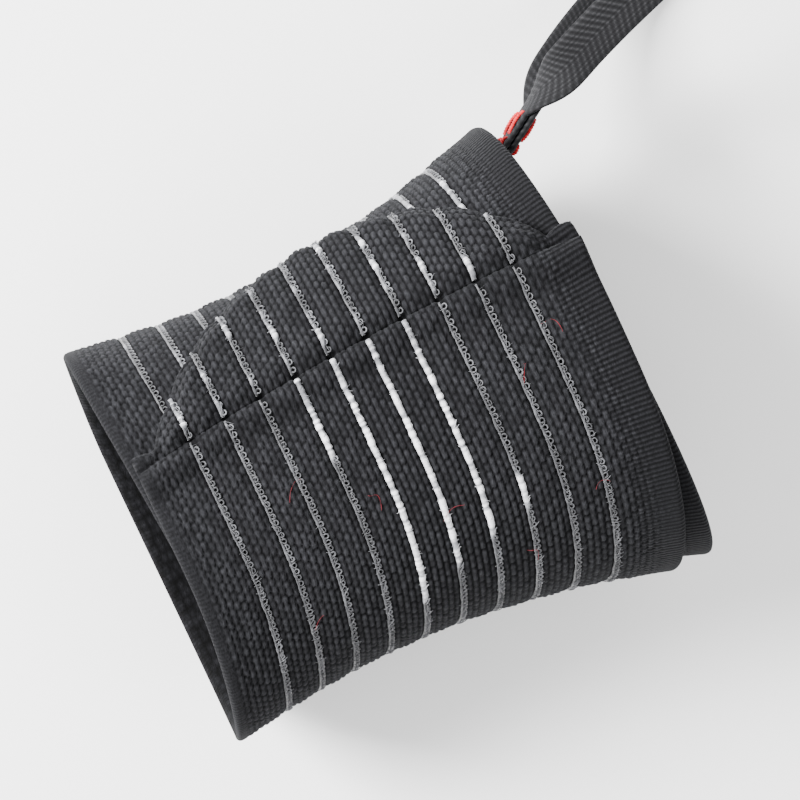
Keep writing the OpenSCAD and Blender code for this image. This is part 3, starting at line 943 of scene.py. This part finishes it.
def webbing():
    centre, wide, at = resample(*loop_path(), WEB_ROW)
    centre, wide = smooth_path(centre, 3), smooth_path(wide, 10)
    tangent = unit(np.gradient(centre, axis=0))
    wide = unit(wide - tangent * np.sum(wide * tangent, -1, keepdims=True))
    normal = unit(np.cross(wide, tangent))
    # The section's outline: two ribbed faces and two round edges
    across = np.linspace(-1, 1, 27)
    edge_round = np.sqrt(np.clip(1 - np.abs(across) ** 8, 0.03, 1))
    q = across * WEB_W / 2
    slope = at[:, None] / CHEVRON_L + np.abs(q)[None, :] / CHEVRON_SLOPE
    chevron = 0.5 + 0.5 * np.cos(2 * math.pi * slope)
    cords = 0.5 + 0.5 * np.cos(2 * math.pi * q / WARP_W)[None, :]
    weave = 0.6 * chevron + 0.4 * cords
    thick = (WEB_T / 2 * 0.94 + (weave - 0.6) * WEAVE_H) * edge_round
    sides, shades, uvs = [], [], []
    for sign in (1, -1):
        order = slice(None, None, sign)
        sides.append(centre[:, None] + wide[:, None] * q[order][None, :, None]
                     + normal[:, None] * (sign * thick[:, order][:, :, None]))
        # The weave's height is kept for the colour as a painted shade, darker in its hollows.
        shades.append(weave[:, order])
        uvs.append(np.stack(np.broadcast_arrays(q[order][None, :] / UV_MM, at[:, None] / UV_MM), -1))
    ring = np.concatenate(sides, 1)
    n, m = ring.shape[:2]
    i, j = np.meshgrid(np.arange(n - 1), np.arange(m), indexing="ij")
    a, b = i * m + j, i * m + (j + 1) % m
    walls = np.stack([a, b, b + m, a + m], -1).reshape(-1, 4)
    caps = []
    for base in (0, (n - 1) * m):
        for k in range(m // 2 - 1):
            cap = (base + k, base + k + 1, base + m - 2 - k, base + m - 1 - k)
            caps.append(cap if base else cap[::-1])
    return new_mesh("webbing_thumb_loop", ring.reshape(-1, 3), [walls, np.array(caps)], WEBBING,
                    np.concatenate(uvs, 1).reshape(-1, 2),
                    {"relief_shade": np.concatenate(shades, 1).reshape(-1)})


strap = webbing()
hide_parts("thumb_loop", "thumb_loop_tab")


# ---- Heavy red stitches on both faces of the sewn legs ----
def heavy_stitch(row, start, stop, face):
    """One long stitch, at a share row of the webbing's width from its middle."""
    rings = 40
    t = np.linspace(0, 1, rings)
    x = start + (stop - start) * t
    z = row * WEB_W + 0.25 * np.sin(2 * math.pi * t)
    out = face * (STACK_T / 2 - 0.15 + 0.42 * np.sin(math.pi * t) ** 0.5)
    centre = LOOP_ROOT + LOOP_OUT * x[:, None] + LOOP_UP * z[:, None] + LOOP_SIDE * out[:, None]
    twist = 0.06 * np.sin(4 * math.pi * (stop - start) * t)
    side, up = np.tile(LOOP_UP, (rings, 1)), np.tile(LOOP_SIDE * face, (rings, 1))
    return centre, side, up, 0.46 + twist, 0.36 + twist, np.ones(rings)


short_one, long_one = (BEND_GAP + 0.2, BEND_GAP + 2.3), (BEND_GAP + 2.9, ROOT_L - 0.3)
stitches = [heavy_stitch(row, *ends, face)
            for row in (-0.30, 0.30) for ends in (short_one, long_one) for face in (-1, 1)]
red = tubes("heavy_red_stitches", stitches, RED, sides=10)
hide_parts("thumb_loop_stitches")
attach(red, "thumb_loop")

# ---- CAD nodes that keep their own shape ----
for name, mat in (("hook_tape_stitching", BLACK), ("inner_end_stitching", BLACK),
                  ("thumb_loop_tab_stitches", RED)):
    frame["nodes"][name].data.materials.clear()
    frame["nodes"][name].data.materials.append(mat)


# ---- Hem at the inner end, knit side toward the wrist ----
def folded_hem():
    in_from_edge = 0.3
    long = INNER_HEM_L * INNER_DEG
    p, v = np.meshgrid(np.linspace(0, long, 40), np.linspace(in_from_edge, BAND_W - in_from_edge, 260),
                       indexing="ij")
    height, shade = knit(s_of(p), v, 0.1, 0.22)
    round_off = np.sqrt(np.clip(1 - (2 * p / long - 1) ** 10, 0.05, 1))
    h = -LAY - INNER_HEM_T * round_off - 0.4 * np.maximum(height, -0.2) * round_off

    def inner_of(rows, cols):
        pick = np.ix_(rows, cols)
        return place(p[pick], v[pick], -LAY)

    uv = np.stack([v, s_of(p)], -1) / UV_MM
    return shell(place(p, v, h), inner_of, "inner_end_folded_hem", KNIT, uv, shade)


inner_hem = folded_hem()
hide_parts("inner_end_hem")
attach(inner_hem, "wound_band")

# ---- Hook tape: a woven base and rows of small hooks ----
TAPE_V0 = END_SIDE + 4 + 0.7 * TAPE_MARGIN
TAPE_BASE_T = 0.62
# A hook's height, the radius of its wire and how far it leans over
HOOK_H = 0.48
HOOK_R = 0.09
HOOK_LEAN = 0.42
# A hook bends over by this angle, in radians
HOOK_BEND = 1.9
# Distance between hooks along the strip and across it
HOOK_PITCH = (1.3, 1.5)


def tape_p(l, v):
    """Turn angle of the closure end l mm from where it starts."""
    return crease_p(v) + (l + 0.5 * FREE) * DEG_PER_MM


def tape_base():
    t, v = np.meshgrid(np.linspace(0, 1, 60), np.linspace(TAPE_V0, BAND_W - TAPE_V0, 150), indexing="ij")
    p = tape_p(TAPE_START + (end_length(v) - TAPE_MARGIN - TAPE_START) * t, v)
    rib = 0.05 * np.cos(2 * math.pi * v / 0.9)

    def inner_of(rows, cols):
        pick = np.ix_(rows, cols)
        return place(p[pick], v[pick], TAPE_ROOM - LAY)

    return shell(place(p, v, TAPE_ROOM - LAY - TAPE_BASE_T - rib), inner_of, "hook_tape_base", TAPE,
                 np.stack([v, t * 20], -1) / UV_MM, 0.5 + 8 * rib)


def tape_hooks():
    """J-shaped hooks that hang from the base and lean to one side and the other by turns."""
    step_l, step_v = HOOK_PITCH
    bend = HOOK_BEND * np.linspace(0, 1, 6)
    runs = []
    for v in np.arange(TAPE_V0 + 0.8, BAND_W - TAPE_V0 - 0.5, step_v):
        long = end_length(v) - TAPE_MARGIN - TAPE_START
        for k in range(max(0, int((long - 0.6) / step_l))):
            l = TAPE_START + 0.5 + step_l * k + 0.2 * cell(k, int(v))
            lean = HOOK_LEAN * (1 - np.cos(bend)) * (1 if k % 2 else -1)
            centre = place(tape_p(l, v), v + lean, TAPE_ROOM - LAY - TAPE_BASE_T - HOOK_H * np.sin(bend))
            tangent = unit(np.gradient(centre, axis=0))
            side = unit(np.cross(tangent, np.array([0.1, 1, 0.2])))
            runs.append(thread(centre, side, unit(np.cross(side, tangent)), HOOK_R))
    return tubes("hook_tape_hooks", runs, TAPE, sides=5)


tape = tape_base()
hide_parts("hook_tape")
hooks = tape_hooks()

# ---- A few loose red fibres caught in the knit ----
# Turn angle, distance across, length and direction of each
FIBRES = ((632, 22, 3.2, 0.6), (622, 33, 2.6, 1.9), (611, 44, 3.6, 0.3), (634, 63, 2.2, 1.1),
          (640, 70, 2.8, 2.4), (596, 18, 2.4, 0.9), (588, 55, 2.9, 2.0), (604, 68, 2.0, 0.2))
FIBRE_R = 0.032


def loose_fibre(p0, v0, length, way):
    t = np.linspace(-0.5, 0.5, 12)
    dv = length * t * math.cos(way) + 0.5 * np.sin(5 * t + way)
    dp = (length * t * math.sin(way) + 0.4 * np.cos(6 * t)) * DEG_PER_MM
    return thread(*frames_on(p0 + dp, v0 + dv, CLOTH_T + 0.34 + 0.1 * np.sin(9 * t)), FIBRE_R)


lint = tubes("loose_red_fibres", [loose_fibre(*row) for row in FIBRES], LINT, sides=5)


def joint(name):
    """A joint's place in mm and the direction of its axis."""
    found = [j for j in frame["joints"] if j["name"] == name][0]
    return np.array(found["pos_m"], float) / MM, unit(np.array(found["axis"], float))


pin, along_pin = joint("outer_turn_open")
for piece in (top, stripes_top):
    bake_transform(piece)
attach(lint, "outer_turn")

pin, along_pin = joint("closure_end_peel")
v = np.linspace(0, BAND_W, 41)
creased = place(crease_p(v), v, CLOTH_T + TAPE_ROOM)
# Square to the axis and down the far side, from the last of the crease on
over = unit(np.cross(along_pin, np.array([0.0, 0.45, 0.9])))
over = over if over[1] > 0 else -over
for piece in (closure, stripes_end, hem, tape, hooks):
    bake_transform(piece)

tab_end = tab_place(BAND_W + TAB_OUT, TAB_MID)
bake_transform(strap)


# ---- Lengths of the strip's parts, worked out but not used ----
def strip_length(p0, p1):
    """Length of the strip between two turn angles, in metres, averaged across the band."""
    v = np.linspace(0, BAND_W, 17)
    p = np.linspace(p0, p1, 240)[:, None] * np.ones(17)
    q = place(p, v, CLOTH_T / 2)
    return float(np.linalg.norm(np.diff(q, axis=0), axis=-1).sum(0).mean()) * MM


strip_length(0, FULL_TURN) + INNER_HEM_L * MM
strip_length(FULL_TURN, NEAR_SIDE)
strip_length(NEAR_SIDE, CREASE)

# ---- Floor, light and camera, in metres ----
FLOOR_HALF = 3.0
AIM = Vector((0, 0, 0.03))
# The view: tilts about X, Y and Z, the shift of its middle, its distance and its scale at that
# distance, for a picture of this many points across
VIEW_TILT = {"Z": 25.477, "Y": 5.682, "X": 6.083}
VIEW_SHIFT = (-6.98, -5.03)
VIEW_AWAY = 500.0
VIEW_SCALE = 5.5544
VIEW_POINTS = 800
SENSOR = 36

corners = [(-FLOOR_HALF, -FLOOR_HALF, 0), (FLOOR_HALF, -FLOOR_HALF, 0),
           (FLOOR_HALF, FLOOR_HALF, 0), (-FLOOR_HALF, FLOOR_HALF, 0)]
floor_mesh = bpy.data.meshes.new("floor")
floor_mesh.from_pydata(corners, [], [(0, 1, 2, 3)])
floor = bpy.data.objects.new("floor", floor_mesh)
bpy.context.scene.collection.objects.link(floor)
floor_material, tree, shader = material("pale_floor", 0.9)
shader.inputs["Base Color"].default_value = (0.97, 0.97, 0.97, 1)
floor_mesh.materials.append(floor_material)

world = bpy.data.worlds.new("studio")
world.use_nodes = True
world.node_tree.nodes["Background"].inputs["Color"].default_value = WHITE
world.node_tree.nodes["Background"].inputs["Strength"].default_value = 1.45
bpy.context.scene.world = world


def area_light(name, where, power, side):
    data = bpy.data.lights.new(name, "AREA")
    data.energy = power
    data.size = side
    lamp = bpy.data.objects.new(name, data)
    lamp.location = where
    lamp.rotation_euler = (AIM - Vector(where)).to_track_quat("-Z", "Y").to_euler()
    bpy.context.scene.collection.objects.link(lamp)


area_light("key", (-0.45, 0.42, 0.42), 30.0, 0.30)
area_light("fill", (0.5, -0.45, 0.8), 4.0, 0.60)

turn = Matrix.Identity(3)
for axis, tilt in VIEW_TILT.items():
    turn = turn @ Matrix.Rotation(math.radians(tilt), 3, axis)
camera_data = bpy.data.cameras.new("camera")
camera_data.sensor_width = SENSOR
camera_data.lens = VIEW_SCALE * VIEW_AWAY / VIEW_POINTS * SENSOR
camera = bpy.data.objects.new("camera", camera_data)
eye = turn.transposed() @ Vector((-VIEW_SHIFT[0], -VIEW_SHIFT[1], VIEW_AWAY))
camera.matrix_world = Matrix.Translation(eye * MM) @ turn.transposed().to_4x4()
bpy.context.scene.collection.objects.link(camera)
bpy.context.scene.camera = camera
